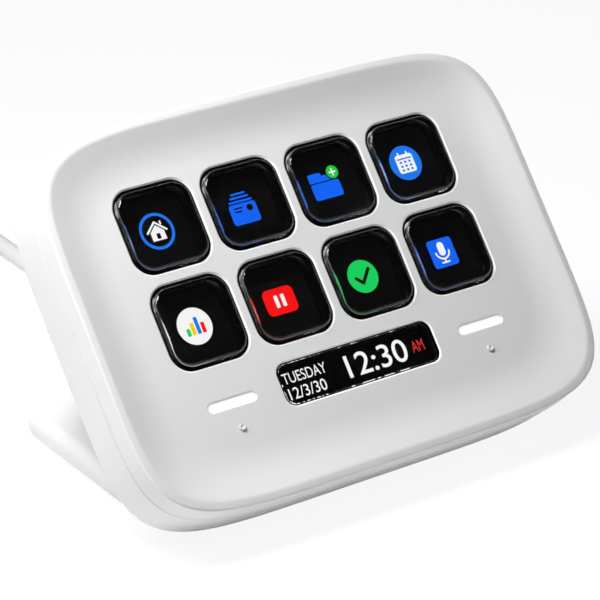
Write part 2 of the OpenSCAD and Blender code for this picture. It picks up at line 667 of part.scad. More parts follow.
module plug_shell() color("silver") at_plug() difference() {
    slab(plug_w, plug_t, plug_t / 2 - 0.05, plug_len, plug_len + plug_shell_len);
    slab(plug_w - 0.8, plug_t - 0.8, plug_t / 2 - 0.45, plug_len + 1, plug_len + plug_shell_len + 1);
}

module plug_contacts() color("#1a1a1a") at_plug()
    for (s = [-1, 1]) block(-plug_w / 2 + 1.4, plug_w / 2 - 1.4, s * (plug_t / 2 - 0.55) - 0.15,
        s * (plug_t / 2 - 0.55) + 0.15, plug_len + 1, plug_len + plug_shell_len - 1);

// ---------------------------------------------------------------- pieces

front_shell();
key_frame();
info_window();
keycap(1);  // keycap_1
keycap(2);  // keycap_2
keycap(3);  // keycap_3
keycap(4);  // keycap_4
keycap(5);  // keycap_5
keycap(6);  // keycap_6
keycap(7);  // keycap_7
keycap(8);  // keycap_8
key_carrier(1);  // key_carrier_1
key_carrier(2);  // key_carrier_2
key_carrier(3);  // key_carrier_3
key_carrier(4);  // key_carrier_4
key_carrier(5);  // key_carrier_5
key_carrier(6);  // key_carrier_6
key_carrier(7);  // key_carrier_7
key_carrier(8);  // key_carrier_8
key_membrane();
contact_film();
lcd_panel();
backlight();
info_gasket();
info_display();
display_tray();
tray_screws();
touch_bar_left();
touch_bar_right();
touch_board_left();
touch_board_right();
display_ribbon();
info_ribbon();
main_board();
board_chips();
board_sockets();
board_screws();
rear_shell();
shell_screws();
strain_relief();
inner_lead();
foot_shell();
foot_screws();
foot_base();
foot_base_screws();
ballast();
foot_pad();
cord();
cord_coil();
cord_tie();
plug_body();
plug_shell();
plug_contacts();
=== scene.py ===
import math

import bmesh
import bpy
from mathutils import Matrix, Vector


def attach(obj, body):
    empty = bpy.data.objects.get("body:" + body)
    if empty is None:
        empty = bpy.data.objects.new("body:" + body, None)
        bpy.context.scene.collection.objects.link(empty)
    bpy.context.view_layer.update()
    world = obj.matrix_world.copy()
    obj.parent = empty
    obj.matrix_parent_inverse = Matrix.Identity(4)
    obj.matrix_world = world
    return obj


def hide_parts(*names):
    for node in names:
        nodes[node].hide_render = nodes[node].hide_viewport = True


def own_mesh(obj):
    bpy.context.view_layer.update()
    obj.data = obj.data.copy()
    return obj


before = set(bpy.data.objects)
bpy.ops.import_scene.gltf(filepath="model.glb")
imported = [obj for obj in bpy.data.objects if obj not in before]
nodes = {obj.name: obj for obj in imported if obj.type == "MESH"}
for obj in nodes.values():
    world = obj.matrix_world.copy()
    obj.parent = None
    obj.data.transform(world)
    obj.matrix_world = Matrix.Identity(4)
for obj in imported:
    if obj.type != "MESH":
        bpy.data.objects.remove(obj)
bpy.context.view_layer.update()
MM = 0.001

# ---------------------------------------------------------------- sizes, in millimetres
# The body's own frame has its origin at the key grid's centre, +Y up the face and +Z out of it.
TILT = math.radians(50)
DESK_UP = 44.433                     # height of that origin over the desk
# Half the body's width and height, how far the grid lies above its middle, and its outline's power
HALF_W, HALF_H, GRID_UP, POWER = 53.5, 39.0, 7.8, 6.0
OUTLINE_POINTS, OUTLINE_STEPS, RING_STEPS = 360, 20000, 40
# Both shells. Heights are from the key plane, and BACK is how far behind it the back face lies.
BACK, BACK_R, WALL, FACE_T, FRAME_T = 14.8, 3.5, 2.0, 1.2, 0.7
INNER_IN, INNER_LOW = 0.6, 0.8       # corner between the front shell's wall and the underside of its face
FRONT_FLAT, BACK_FLAT = 0.4, 0.6     # flat rings past the dish and past the back's rounded edge
SHARP, NEAR = 28, 0.01               # degrees past which a cut piece's edge stays sharp, and a close match
RIM_UP, RIM_W, DRAFT = 2.2, 1.5, 0.3
RIM_FALL = 0.12                      # how far the rim's top leans down to its outer edge
RIM_SOFT = 0.35                      # reach of the rounding between the rim and the dish
RIM_BEVEL, BEVEL_R = 0.28, 0.08      # flat bevel round the rim's outside, and its rounded corners
DISH_W, DISH_STRAIGHT = 9.7, 3.0     # the slope, and its straight part next to the rim
DISH_IN = DRAFT + RIM_W + DISH_W
DISH_CURVE = DISH_W - DISH_STRAIGHT
DISH_BEND = RIM_UP / (DISH_CURVE * (2 * DISH_W - DISH_CURVE))
SEAM, SEAM_GAP = -2.6, 0.3
SEAM_SOFT, SEAM_SHOWN = 0.05, 0.16   # bevel on both edges of the seam, and the gap between them
TONGUE_GAP, TONGUE_T, TONGUE_UP, TONGUE_ROOT = 0.1, 1.0, 1.3, 2.0
SCREW_X, SCREW_TOP, SCREW_LOW, RECESS_R, RECESS_FLOOR = 45.0, 16.6, -32.2, 2.1, -11.8
# Openings of the face
PITCH_X, PITCH_Y = 19.4, 19.6
HOLE, HOLE_R, CHAMFER = 17.3, 4.15, 0.32
INFO_Y, INFO_W, INFO_H, INFO_R, INFO_CHAMFER = -26.2, 36.0, 8.6, 2.15, 0.256
BAR_X, BAR_W, BAR_H, BAR_R, BAR_BEVEL = 29.1, 10.6, 1.9, 0.949, 0.18
DOT_Y, DOT_R, DOT_UP, DOT_GAP, DOT_DEEP = -31.2, 0.7, 0.42, 0.1, 0.4
# Section of a dot from its foot to its dished top: distance in from its edge, and z
DOT_SECTION = [(0.0, -DOT_DEEP - 0.02), (0.0, 0.02), (0.02, DOT_UP - 0.12), (0.07, DOT_UP - 0.03),
               (0.16, DOT_UP), (0.27, DOT_UP - 0.04), (0.36, DOT_UP - 0.13)]
OPENING_LOW, PAST = -3.0, 0.5        # how deep a cutter goes, and how far it stands out of what it cuts
# Where the openings' bevels and walls are looked for, and how they lean: 1 is flat and 0 upright
BELOW_FACE, LIP_SLACK, WALL_SLACK, LEAN_LOW, LEAN_HIGH, UPRIGHT = 0.005, 0.02, 0.3, 0.3, 0.9, 0.1
# Keys, their membrane and the displays
CAP, CAP_R, CAP_UP, CAP_EDGE, CAP_LOW = 15.9, 3.45, 0.8, 0.7, -2.0
SEAT, SEAT_R, SEAT_LOW, CAP_BREAK, CAP_FLAT = 15.1, 3.05, -2.4, 0.05, 0.5
MEMBRANE_W, MEMBRANE_H, MEMBRANE_R, MEMBRANE_LOW, MEMBRANE_TOP = 79.0, 40.0, 2.0, -3.8, -3.6
LENS, LENS_R, CARRIER_LOW, TRAVEL = 14.3, 2.65, -2.5, 1.0
BELLOWS, BELLOWS_R, BELLOWS_WALL, BELLOWS_FOLD, BELLOWS_GAP = 17.9, 4.45, 0.25, 0.35, 0.02
PANE_GAP, PANE_BEVEL, PANE_TOP, PANE_FLAT, FLANGE = 0.25, 0.16, -0.15, 0.75, 1.0
GLASS_Z, LAYER = -3.95, 0.012        # front of the displays, and the step between drawn layers
# Foot and lead
FOOT_W, FOOT_BACK, FOOT_TOP, FOOT_LOW = 90.0, 40.5, 5.6, 0.8
FOOT_EDGE, FOOT_CORNER, FOOT_WALL, CAVITY_GAP = 2.2, 8.5, 1.5, 0.5
FOOT_SOFT, FOOT_FLAT, FOOT_PAST = 0.5, 0.5, 1.0
NECK_R, NECK_W, NECK_ROOT, NECK_PAST, NECK_DEEP = 6.0, 70.0, 9.0, 3.0, 2.0
CORD_D = 4.0

BODY = Matrix.Translation((0, 0, DESK_UP * MM)) @ Matrix.Rotation(TILT, 4, "X")
OUT_OF_FACE = BODY.to_3x3() @ Vector((0, 0, 1))


def body_point(x, y, z):
    """A place in the body's own frame, in millimetres, as a point of the object's frame in metres."""
    return BODY @ (Vector((x, y, z)) * MM)


def desk_point(x, y, z):
    """A place in the object's own frame, in millimetres, as a point in metres."""
    return Vector((x, y, z)) * MM


# ---------------------------------------------------------------- camera
CAMERA_AT = (-291.38, -428.02, 272.81)
CAMERA_RIGHT = (0.8261, -0.5634, -0.0096)
CAMERA_DOWN = (-0.2455, -0.3445, -0.9061)
FOCAL_PX, IMAGE_PX, SENSOR, CLIP_START = 2931.0, 600.0, 36.0, 0.01


def make_camera():
    """The camera, from where it is, which way is right and down in its picture, and its focal length."""
    data = bpy.data.cameras.new("camera")
    data.sensor_width = SENSOR
    data.lens = FOCAL_PX / IMAGE_PX * SENSOR
    data.clip_start = CLIP_START
    camera = bpy.data.objects.new("camera", data)
    bpy.context.scene.collection.objects.link(camera)
    right = Vector(CAMERA_RIGHT).normalized()
    up = (-Vector(CAMERA_DOWN)).normalized()
    up = (up - up.dot(right) * right).normalized()
    turn = Matrix((right, up, right.cross(up))).transposed().to_4x4()
    camera.matrix_world = Matrix.Translation(desk_point(*CAMERA_AT)) @ turn
    bpy.context.scene.camera = camera


# ---------------------------------------------------------------- materials
def shader_groups():
    """Two shared effects: a moulded or cast surface's fine grain, and a soft large-scale mottle."""
    grain = bpy.data.node_groups.new("fine_grain", "ShaderNodeTree")
    for name, value in (("Scale", 2500.0), ("Depth", 0.1), ("Height", 0.00004)):
        socket = grain.interface.new_socket(name, in_out="INPUT", socket_type="NodeSocketFloat")
        socket.default_value = value
    grain.interface.new_socket("Mask", in_out="OUTPUT", socket_type="NodeSocketFloat")
    grain.interface.new_socket("Normal", in_out="OUTPUT", socket_type="NodeSocketVector")
    put, link = grain.nodes.new, grain.links.new
    inputs, outputs = put("NodeGroupInput"), put("NodeGroupOutput")
    place = put("ShaderNodeTexCoord")
    noise = put("ShaderNodeTexNoise")
    noise.inputs["Detail"].default_value = 3
    bump = put("ShaderNodeBump")
    link(place.outputs["Object"], noise.inputs["Vector"])
    link(inputs.outputs["Scale"], noise.inputs["Scale"])
    link(inputs.outputs["Depth"], bump.inputs["Strength"])
    link(inputs.outputs["Height"], bump.inputs["Distance"])
    link(noise.outputs["Fac"], bump.inputs["Height"])
    link(noise.outputs["Fac"], outputs.inputs["Mask"])
    link(bump.outputs["Normal"], outputs.inputs["Normal"])

    mottle = bpy.data.node_groups.new("soft_mottle", "ShaderNodeTree")
    socket = mottle.interface.new_socket("Scale", in_out="INPUT", socket_type="NodeSocketFloat")
    socket.default_value = 60.0
    mottle.interface.new_socket("Mask", in_out="OUTPUT", socket_type="NodeSocketFloat")
    put, link = mottle.nodes.new, mottle.links.new
    inputs, outputs = put("NodeGroupInput"), put("NodeGroupOutput")
    place, noise = put("ShaderNodeTexCoord"), put("ShaderNodeTexNoise")
    noise.inputs["Detail"].default_value = 2
    link(place.outputs["Object"], noise.inputs["Vector"])
    link(inputs.outputs["Scale"], noise.inputs["Scale"])
    link(noise.outputs["Fac"], outputs.inputs["Mask"])
    return grain, mottle


GRAIN, MOTTLE = shader_groups()


def surface(name, color, roughness, grain=2500, depth=0.1, spread=0.03, rough_spread=0.06, **shader):
    """Material with grain in its normal, and a slight mottle in its colour and roughness."""
    material = bpy.data.materials.new(name)
    material.use_nodes = True
    tree = material.node_tree
    put, link = tree.nodes.new, tree.links.new
    principled = tree.nodes["Principled BSDF"]
    fine, soft = put("ShaderNodeGroup"), put("ShaderNodeGroup")
    fine.node_tree, soft.node_tree = GRAIN, MOTTLE
    fine.inputs["Scale"].default_value = grain
    fine.inputs["Depth"].default_value = depth
    tone = put("ShaderNodeMix")
    tone.data_type = "RGBA"
    tone.inputs["A"].default_value = (*[c * (1 - spread) for c in color], 1)
    tone.inputs["B"].default_value = (*[min(1, c * (1 + spread)) for c in color], 1)
    rough = put("ShaderNodeMapRange")
    rough.inputs["To Min"].default_value = max(0.0, roughness - rough_spread)
    rough.inputs["To Max"].default_value = min(1.0, roughness + rough_spread)
    link(soft.outputs["Mask"], tone.inputs["Factor"])
    link(fine.outputs["Mask"], rough.inputs["Value"])
    link(tone.outputs["Result"], principled.inputs["Base Color"])
    link(rough.outputs["Result"], principled.inputs["Roughness"])
    link(fine.outputs["Normal"], principled.inputs["Normal"])
    for socket, value in shader.items():
        principled.inputs[socket.replace("_", " ")].default_value = value
    return material


RIPPLE_HEIGHT, RIPPLE_FLAT = 0.00015, 0.004
# How squarely a surface has to face out of the face to be flat, and to be fully rippled
SQUARE, TURNED = 0.995, 0.8


def clear(name, color, roughness, ior, specular, ripple):
    """Clear polished plastic: flat on its front, rippled by the mould round its edges."""
    material = surface(name, color, roughness, grain=900, spread=0.01, rough_spread=roughness / 2)
    tree = material.node_tree
    put, link = tree.nodes.new, tree.links.new
    principled = tree.nodes["Principled BSDF"]
    fine = next(n for n in tree.nodes if n.type == "GROUP" and n.node_tree == GRAIN)
    fine.inputs["Height"].default_value = RIPPLE_HEIGHT
    shape, facing = put("ShaderNodeNewGeometry"), put("ShaderNodeVectorMath")
    edge = put("ShaderNodeMapRange")
    facing.operation = "DOT_PRODUCT"
    facing.inputs[1].default_value = OUT_OF_FACE
    edge.inputs["From Min"].default_value, edge.inputs["From Max"].default_value = SQUARE, TURNED
    edge.inputs["To Min"].default_value, edge.inputs["To Max"].default_value = RIPPLE_FLAT, ripple
    link(shape.outputs["Normal"], facing.inputs[0])
    link(facing.outputs["Value"], edge.inputs["Value"])
    link(edge.outputs["Result"], fine.inputs["Depth"])
    principled.inputs["Transmission Weight"].default_value = 1.0
    principled.inputs["IOR"].default_value = ior
    principled.inputs["Specular IOR Level"].default_value = specular
    return material


PIXEL_SCALE, PIXEL_DIM = 900, 0.97   # size and depth of the display's unevenness


def glow(name, color):
    """Lit pixels: black glass that shines in one colour, a little uneven as a display is."""
    material = surface(name, (0.0, 0.0, 0.0), 0.5, depth=0.0, Specular_IOR_Level=0.0)
    tree = material.node_tree
    principled = tree.nodes["Principled BSDF"]
    soft, tone = tree.nodes.new("ShaderNodeGroup"), tree.nodes.new("ShaderNodeMix")
    soft.node_tree = MOTTLE
    soft.inputs["Scale"].default_value = PIXEL_SCALE
    tone.data_type = "RGBA"
    tone.inputs["A"].default_value = (*[c * PIXEL_DIM for c in color], 1)
    tone.inputs["B"].default_value = (*color, 1)
    tree.links.new(soft.outputs["Mask"], tone.inputs["Factor"])
    tree.links.new(tone.outputs["Result"], principled.inputs["Emission Color"])
    principled.inputs["Emission Strength"].default_value = 1.0
    return material


SHELL = surface("shell_plastic", (0.80, 0.80, 0.805), 0.52, grain=5200, depth=0.16, spread=0.008)
# Bevels round the openings: lighter than the shell and glowing a little, a painted highlight
LIP_PAINTED_HIGHLIGHT = surface("lip_painted_highlight", (0.95, 0.95, 0.95), 0.2, depth=0.02, spread=0.008, Emission_Strength=0.15,
              Emission_Color=(1, 1, 1, 1))
# Black for the black parts, and also painted on the walls inside the openings as painted shade
BLACK = surface("black_moulding_and_painted_shade", (0.0032, 0.003, 0.003), 0.7, depth=0.15, Specular_IOR_Level=0.02)
CAP_CLEAR = clear("cap_acrylic", (1, 1, 1), 0.015, 1.49, 0.5, 0.5)
WINDOW = clear("window_acrylic", (1, 1, 1), 0.02, 1.49, 0.35, 0.5)
DISPLAY = surface("display_glass", (0.0115, 0.011, 0.011), 0.4, depth=0.0, Specular_IOR_Level=0.0)
GUIDE = surface("light_guide", (0.86, 0.86, 0.85), 0.3, depth=0.02)
LIGHT_BAR = surface("light_bar", (0.95, 0.95, 0.95), 0.4, depth=0.04, Emission_Strength=0.35,
                    Emission_Color=(1, 1, 1, 1))
SILICONE = surface("silicone", (0.004, 0.004, 0.004), 0.8, grain=1800, depth=0.2, Specular_IOR_Level=0.05)
# Grey painted shade for the face inside the seam's gap
SEAM_PAINTED_SHADE = surface("seam_painted_shade", (0.55, 0.55, 0.55), 0.8, depth=0.2)
FILM = surface("amber_film", (0.45, 0.19, 0.03), 0.3, depth=0.03)
FOAM = surface("foam", (0.015, 0.015, 0.015), 0.95, grain=1500, depth=0.8)
SHEET = surface("sheet_steel", (0.56, 0.57, 0.58), 0.35, grain=900, depth=0.08, Metallic=1.0)
SCREW = surface("screw_steel", (0.62, 0.62, 0.63), 0.28, grain=1600, depth=0.1, Metallic=1.0)
BOARD = surface("solder_mask", (0.008, 0.09, 0.035), 0.35, grain=1400, depth=0.12, spread=0.12)
CHIP = surface("epoxy", (0.018, 0.018, 0.02), 0.6, grain=3000, depth=0.25)
SOCKET = surface("ivory_plastic", (0.72, 0.69, 0.58), 0.5, depth=0.1)
JACKET = surface("lead_jacket", (0.74, 0.74, 0.745), 0.55, grain=3200, depth=0.14)
BOOT = surface("boot_rubber", (0.76, 0.76, 0.765), 0.6, grain=2600, depth=0.18)
BALLAST = surface("steel_plate", (0.22, 0.22, 0.23), 0.5, grain=700, depth=0.3, spread=0.1, Metallic=1.0)
PAD = surface("pad_rubber", (0.07, 0.07, 0.07), 0.85, grain=1500, depth=0.45)
STRAP = surface("strap_fabric", (0.016, 0.016, 0.017), 0.95, grain=1300, depth=0.9, Sheen_Weight=0.4)
PLUG = surface("plug_plastic", (0.77, 0.77, 0.775), 0.48, depth=0.12)
PLUG_METAL = surface("plated_steel", (0.72, 0.72, 0.73), 0.18, grain=1200, depth=0.04, Metallic=1.0)

NODE_MATERIALS = {
    "key_frame": BLACK, "contact_film": BLACK, "lcd_panel": DISPLAY, "info_display": DISPLAY,
    "backlight": GUIDE, "info_gasket": FOAM, "display_tray": SHEET,
    "touch_bar_left": LIGHT_BAR, "touch_bar_right": LIGHT_BAR,
    "touch_board_left": BOARD, "touch_board_right": BOARD, "main_board": BOARD, "board_chips": CHIP,
    "board_sockets": SOCKET, "display_ribbon": FILM, "info_ribbon": FILM, "strain_relief": BOOT,
    "inner_lead": JACKET, "foot_base": SHELL, "ballast": BALLAST, "foot_pad": PAD,
    "cord_tie": STRAP, "plug_body": PLUG, "plug_shell": PLUG_METAL, "plug_contacts": CHIP,
}


def dress_cad_nodes():
    """Gives each node its own material; key carriers are black, screws are steel and the rest is white."""
    for name, piece in nodes.items():
        material = NODE_MATERIALS.get(name, SHELL)
        if name.startswith("key_carrier"):
            material = BLACK
        if name.endswith("screws"):
            material = SCREW
        for slot in piece.material_slots:
            slot.material = material


# ---------------------------------------------------------------- meshes
def piece_of(name, points, faces, material, slot, body="housing", sharp=32):
    """A piece from points in metres. It rides on its body; a cutter has none and is used up by cut()."""
    mesh = bpy.data.meshes.new(name)
    mesh.from_pydata([tuple(p) for p in points], [], faces)
    mesh.materials.append(material)
    turned = bmesh.new()
    turned.from_mesh(mesh)
    bmesh.ops.recalc_face_normals(turned, faces=turned.faces)
    turned.to_mesh(mesh)
    turned.free()
    piece = bpy.data.objects.new(name, mesh)
    bpy.context.scene.collection.objects.link(piece)
    smooth(piece, sharp)
    if body:
        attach(piece, body)
    return piece


def cutter(rings):
    """A solid through rings, to be given to cut()."""
    return piece_of("cutter", *skin(rings), SHELL, None, body=None)


def smooth(piece, sharp):
    """Shades a piece smooth, apart from edges sharper than an angle in degrees."""
    piece.data.polygons.foreach_set("use_smooth", [True] * len(piece.data.polygons))
    piece.data.set_sharp_from_angle(angle=math.radians(sharp))


def skin(rings, hoop=False):
    """Closed skin through a stack of rings with as many points each; a hoop's last ring joins its first."""
    n = len(rings[0])
    if hoop:
        rings = rings + rings[:1]
    points = [p for ring in rings for p in ring]
    faces = [] if hoop else [list(range(n))[::-1], [(len(rings) - 1) * n + i for i in range(n)]]
    for k in range(len(rings) - 1):
        for i in range(n):
            a, b = k * n + i, k * n + (i + 1) % n
            faces.append([a, b, b + n, a + n])
    return points, faces


def arc(x, z, r, start, end, steps):
    """Points along an arc between two angles in degrees."""
    angles = [math.radians(start + (end - start) * i / steps) for i in range(steps + 1)]
    return [(x + r * math.cos(a), z + r * math.sin(a)) for a in angles]


def on_outline(a, inset=0.0):
    """Place at an angle on the body's outline, a superellipse about the body's middle."""
    power = 2 / POWER
    return ((HALF_W - inset) * math.copysign(abs(math.cos(a)) ** power, math.cos(a)),
            (HALF_H - inset) * math.copysign(abs(math.sin(a)) ** power, math.sin(a)))


def outline_angles(count):
    """Angles that space points evenly along the body's outline."""
    dense = [2 * math.pi * i / OUTLINE_STEPS for i in range(OUTLINE_STEPS + 1)]
    run, last, lengths = 0.0, Vector(on_outline(0.0)), []
    for a in dense:
        here = Vector(on_outline(a))
        run += (here - last).length
        lengths.append(run)
        last = here
    angles, k = [], 0
    for i in range(count):
        while lengths[k] < run * i / count:
            k += 1
        angles.append(dense[k])
    return angles


ANGLES = outline_angles(OUTLINE_POINTS)


def body_ring(inset, z):
    """Ring round the body, a distance in from its outline."""
    return [body_point(x, y - GRID_UP, z) for x, y in (on_outline(a, inset) for a in ANGLES)]


def round_ring(x, y, r, z):
    """Circle in the body's frame."""
    angles = [2 * math.pi * i / RING_STEPS for i in range(RING_STEPS)]
    return [body_point(x + r * math.cos(a), y + r * math.sin(a), z) for a in angles]


def rounded(w, h, r, steps=10):
    """Points round a rectangle with round corners, about its middle."""
    points = []
    for k, (sx, sy) in enumerate(((1, 1), (-1, 1), (-1, -1), (1, -1))):
        for i in range(steps + 1):
            a = math.radians(90 * k + 90 * i / steps)
            points.append((sx * (w / 2 - r) + r * math.cos(a), sy * (h / 2 - r) + r * math.sin(a)))
    return points


def stack(x, y, levels, place=body_point):
    """Rings for skin() from (width, height, radius, z) levels about a centre."""
    return [[place(x + px, y + py, z) for px, py in rounded(w, h, r)] for w, h, r, z in levels]


def cut(piece, tools, operation="DIFFERENCE"):
    """Takes tools away from a piece, or joins them to it, and uses them up."""
    for tool in tools:
        change = piece.modifiers.new("cut", "BOOLEAN")
        change.object, change.operation, change.solver = tool, operation, "MANIFOLD"
    bpy.context.view_layer.update()
    graph = bpy.context.evaluated_depsgraph_get()
    mesh = bpy.data.meshes.new_from_object(piece.evaluated_get(graph))
    piece.modifiers.clear()
    piece.data = mesh
    for tool in tools:
        bpy.data.objects.remove(tool)


# ---------------------------------------------------------------- lead
ROUTE = [
    (0.0, 23.0, 20.1), (0.0, 29.0, 15.8), (0.0, 36.0, 12.0), (0.0, 44.0, 8.4), (-0.5, 52.0, 5.2),
    (-1.5, 61.0, 3.1), (-2.5, 71.0, 2.0), (-4.0, 82.0, 2.0), (-5.0, 93.0, 2.0), (-5.5, 104.0, 2.0),
    (-5.5, 115.0, 2.0), (-5.5, 125.0, 2.0), (-6.0, 134.0, 2.0),
]
EXIT_Y, BOOT_LEN = -4.0, 14.0        # where the lead leaves the back, and how far its boot stands out
COIL_X, COIL_Y, COIL_LOW, TURN_STEPS = -32.0, 150.0, 0.6, 24
COIL_MEET = (-6.0, 142.0, 2.1)       # last point before the coil's first turn
# Each turn of the coil as its column, 0 the outermost, and its layer, 0 the lowest
TURNS = [(0, 0), (1, 0), (2, 0), (2, 1), (1, 1), (2, 2), (1, 2), (0, 2), (0, 1)]
OUTER_TURN = 26.0
PLUG_START, PLUG_UP = 133.53, 3.2
# The lead's run from the coil down to the plug: places along Y, and their drop from the last turn
RUN_OFF = [(COIL_Y, 0.0), (145.5, 0.05), (141.5, 0.6), (138.0, 1.9)]
PLUG_EASE = (135.2, 0.35)            # last point before the plug, and its height over the plug's middle


def turn_place(column, layer):
    """Radius and height of a turn's middle line."""
    return OUTER_TURN - CORD_D * column, COIL_LOW + CORD_D * (layer + 0.5)


def coil_points():
    """Turns wound from the right-hand side; each goes over to the next in its last quarter."""
    points = []
    for k, turn in enumerate(TURNS):
        here = turn_place(*turn)
        after = turn_place(*TURNS[min(k + 1, len(TURNS) - 1)])
        steps = TURN_STEPS // 2 if k == len(TURNS) - 1 else TURN_STEPS
        for i in range(steps):
            u = i / TURN_STEPS
            v = max(0.0, (u - 0.75) / 0.25)
            v = v * v * (3 - 2 * v)
            r, z = (here[j] + (after[j] - here[j]) * v for j in (0, 1))
            a = 2 * math.pi * u
            points.append((COIL_X + r * math.cos(a), COIL_Y + r * math.sin(a), z))
    return points


def smooth_route(points, steps=4):
    """Catmull-Rom curve through the route's points."""
    ends = [points[0], *points, points[-1]]
    made = []
    for k in range(len(points) - 1):
        a, b, c, d = (Vector(p) for p in ends[k:k + 4])
        for i in range(steps):
            t = i / steps
            made.append(0.5 * (2 * b + (c - a) * t + (2 * a - 5 * b + 4 * c - d) * t * t
                               + (3 * b - a - 3 * c + d) * t ** 3))
    return made + [Vector(points[-1])]


def make_lead():
    """The lead from its boot along its route, round the coil and down to the plug."""
    exit_point = body_point(0, EXIT_Y, -BACK - BOOT_LEN)
    last_r, last_z = turn_place(*TURNS[-1])
    off_x = COIL_X - last_r
    off = [(off_x, y, last_z - drop) for y, drop in RUN_OFF]
    off += [(off_x, PLUG_EASE[0], PLUG_UP + PLUG_EASE[1]), (off_x, PLUG_START, PLUG_UP)]
    path = smooth_route([tuple(exit_point / MM), *ROUTE]) + [Vector(COIL_MEET)]
    path += [Vector(p) for p in coil_points()] + smooth_route(off)
    for p in path:
        p.z = max(p.z, CORD_D / 2)
    curve = bpy.data.curves.new("lead", "CURVE")
    curve.dimensions = "3D"
    curve.bevel_depth = CORD_D / 2 * MM
    curve.bevel_resolution = 5
    spline = curve.splines.new("POLY")
    spline.points.add(len(path) - 1)
    for point, place in zip(spline.points, path):
        point.co = (*(place * MM), 1)
    spline.use_smooth = True
    curve.materials.append(JACKET)
    lead = bpy.data.objects.new("lead", curve)
    bpy.context.scene.collection.objects.link(lead)
    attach(lead, "housing")
    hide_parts("cord", "cord_coil")


# ---------------------------------------------------------------- shells
def dish_z(s):
    """Height of the dish at a distance in from the outline: a parabola, then its tangent."""
    u = max(DISH_IN - s, 0)
    return DISH_BEND * (u * u if u < DISH_CURVE else DISH_CURVE * (2 * u - DISH_CURVE))


def rim_profile():
    """The rim's bevel, its narrow leaning top, then the dish down to the key plane."""
    edge, low = DRAFT + RIM_W, RIM_UP - RIM_FALL
    reach = BEVEL_R * math.tan(math.radians(22.5))   # what rounding a corner of 45 degrees takes up
    outer = arc(DRAFT + BEVEL_R, low - RIM_BEVEL - reach, BEVEL_R, 180, 135, 4)
    outer += arc(DRAFT + RIM_BEVEL + reach, low - BEVEL_R, BEVEL_R, 135, 95, 4)
    start, corner = (edge - RIM_SOFT, RIM_UP - RIM_FALL * RIM_SOFT / RIM_W), (edge, RIM_UP)
    end = (edge + RIM_SOFT, dish_z(edge + RIM_SOFT))
    soft = []
    for i in range(7):
        t = i / 6
        soft.append(tuple((1 - t) ** 2 * a + 2 * t * (1 - t) * b + t * t * c
                          for a, b, c in zip(start, corner, end)))
    steps = 48
    dish = [end[0] + (DISH_IN - end[0]) * i / steps for i in range(1, steps + 1)]
    return outer + soft + [(s, dish_z(s)) for s in dish]


def opening(x, y, w, h, r, chamfer):
    """Cutter for a rounded opening in the face, with a bevel round its front edge."""
    over = chamfer + PAST
    front = (w + 2 * over, h + 2 * over, r + over, PAST)
    return cutter(stack(x, y, [front, (w, h, r, -chamfer), (w, h, r, OPENING_LOW)]))


def make_front_shell():
    """The front shell, from under its face round the rim and over the dish to the key plane."""
    under = [DISH_IN - (DISH_IN - WALL - INNER_IN) * i / 12 for i in range(13)]
    profile = [(s, dish_z(s) - FACE_T) for s in under]
    low = SEAM - SEAM_GAP + SEAM_SHOWN
    profile += [(WALL, RIM_UP - FACE_T - INNER_LOW), (WALL, SEAM), (WALL / 2, SEAM), (WALL / 2, low)]
    profile += [(SEAM_SOFT, low), (0.0, low + SEAM_SOFT)] + rim_profile() + [(DISH_IN + FRONT_FLAT, 0.0)]
    points, faces = skin([body_ring(s, z) for s, z in profile])
    shell = piece_of("front_shell_smooth", points, faces, SHELL, "shell_white")
    cutters = [opening(x, y, HOLE, HOLE, HOLE_R, CHAMFER) for x, y in key_places()]
    cutters.append(opening(0, INFO_Y, INFO_W, INFO_H, INFO_R, INFO_CHAMFER))
    for side in (-1, 1):
        cutters.append(opening(side * BAR_X, INFO_Y, BAR_W, BAR_H, BAR_R, BAR_BEVEL))
        cutters.append(cutter([dot_ring(side, DOT_R + DOT_GAP, z) for z in (-DOT_DEEP, PAST)]))
    cut(shell, cutters)
    finish_openings(shell)
    smooth(shell, SHARP)
    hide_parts("front_shell")
    for side in (-1, 1):
        make_dot(side)


def finish_openings(shell):
    """Gives the bevels round the key openings and the info window a painted highlight, and paints the walls
    below them black as painted shade.
    """
    shell.data.materials.append(LIP_PAINTED_HIGHLIGHT)
    shell.data.materials.append(BLACK)
    to_body = BODY.inverted()
    for face in shell.data.polygons:
        centre = to_body @ face.center / MM
        lean = (to_body.to_3x3() @ face.normal).z
        beside_bars = abs(centre.x) > INFO_W / 2 + 1 and centre.y < INFO_Y + INFO_H / 2
        outside = abs(centre.x) > 2 * PITCH_X or not INFO_Y - INFO_H < centre.y < PITCH_Y
        if beside_bars or outside or centre.z > -BELOW_FACE:
            continue
        # The bevels get the painted highlight
        if centre.z > -CHAMFER - LIP_SLACK and LEAN_LOW < lean < LEAN_HIGH:
            face.material_index = 1
        # The walls inside the openings are painted black: painted shade
        elif centre.z > -FACE_T - WALL_SLACK and abs(lean) < UPRIGHT:
            face.material_index = 2


def dot_ring(side, r, z):
    """Circle about the middle of the left dot, where side is -1, or of the right one."""
    return round_ring(side * BAR_X, DOT_Y, r, z)


def make_dot(side):
    """Raised tactile dot in its own shallow well, with steep sides and a dished top."""
    rings = [dot_ring(side, DOT_R - s, z) for s, z in DOT_SECTION]
    name = "touch_dot_left" if side < 0 else "touch_dot_right"
    piece_of(name, *skin(rings), SHELL, "shell_white", sharp=50)


